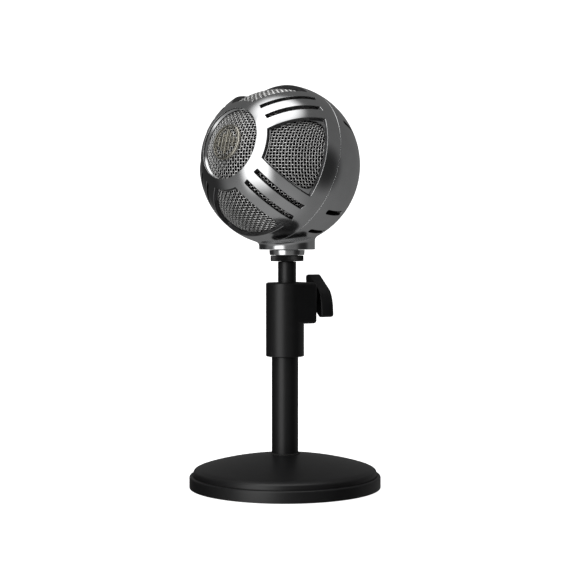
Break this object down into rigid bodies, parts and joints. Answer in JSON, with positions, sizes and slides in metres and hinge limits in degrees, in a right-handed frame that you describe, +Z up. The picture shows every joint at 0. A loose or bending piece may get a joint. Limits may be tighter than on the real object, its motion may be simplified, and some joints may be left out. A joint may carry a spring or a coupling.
{
  "type": "desktop microphone",
  "caption": "Ball-shaped desktop microphone with grille openings, on a telescopic stand with a wing-knob clamp and a weighted round base.",
  "frame": {"origin": "centre of the base's underside, on the surface that the microphone stands on", "axes": "+Z up along the stand; the front grille faces -Y and leans back 15.2 degrees; +X is the microphone's side"},
  "size_m": [0.135, 0.135, 0.2825],
  "materials": {
    "satin_black": "satin black paint",
    "chrome": "mirror chrome plate",
    "mesh_grey": "woven wire, satin",
    "nickel": "warm nickel plate",
    "steel": "zinc-plated steel",
    "cast_iron": "as cast",
    "rubber": "matte",
    "nylon": "moulded nylon",
    "brass": "turned brass",
    "aluminium": "die cast",
    "board_green": "solder mask",
    "matte_black": "moulded",
    "black_cloth": "thin felt"
  },
  "bodies": {
    "stand": {"base_cover": "satin_black", "base_weight": "cast_iron", "base_pad": "rubber", "base_washer": "steel", "base_bolt": "steel", "tube_plug": "steel", "foot_ring": "rubber", "outer_tube": "satin_black", "clamp_body": "satin_black", "clamp_grub_screw": "steel"},
    "rod_guide": {"guide_ring": "nylon"},
    "rod_and_head": {"inner_rod": "satin_black", "rod_plug": "nylon", "thread_collar": "satin_black", "neck_ring": "chrome", "neck_flange": "chrome", "thread_insert": "brass", "neck_nut": "steel", "front_shell": "chrome", "rear_shell": "chrome", "mesh_dome": "mesh_grey", "mesh_liner": "black_cloth", "mesh_ring": "steel", "badge": "nickel", "chassis_ring": "aluminium", "capsule_cradle": "rubber", "capsule": "brass", "circuit_board": "board_green", "standoff_1": "brass", "standoff_2": "brass", "standoff_3": "brass", "standoff_4": "brass", "board_screw_1": "steel", "board_screw_2": "steel", "board_screw_3": "steel", "board_screw_4": "steel", "usb_socket": "steel", "mode_switch": "matte_black", "shell_screw_1": "steel", "shell_screw_2": "steel", "shell_screw_3": "steel"},
    "slider": {"mode_slider": "matte_black"},
    "pad": {"pressure_pad": "brass"},
    "knob": {"clamp_screw": "steel", "clamp_knob": "satin_black"}
  },
  "joints": [
    {"name": "rod_turn", "type": "hinge", "parent": "stand", "child": "rod_guide", "pos_m": [0.00044, 0.00159, 0.142], "axis": [0, 0, 1], "continuous": true},
    {"name": "rod_height", "type": "slide", "parent": "rod_guide", "child": "rod_and_head", "axis": [0, 0, 1], "range_m": [-0.0145, 0.045]},
    {"name": "mode_slide", "type": "slide", "parent": "rod_and_head", "child": "slider", "axis": [1, 0, 0], "range_m": [-0.004, 0.004]},
    {"name": "screw_travel", "type": "slide", "parent": "stand", "child": "pad", "axis": [0.2672, 0.9636, 0], "range_m": [0, 0.00201]},
    {"name": "knob_turn", "type": "hinge", "parent": "pad", "child": "knob", "pos_m": [0, 0, 0.1348], "axis": [0.2672, 0.9636, 0], "range_deg": [0, 720]}
  ],
  "couplings": [
    {"joint": "screw_travel", "follows": "knob_turn", "m_per_rad": 0.00015915}
  ]
}
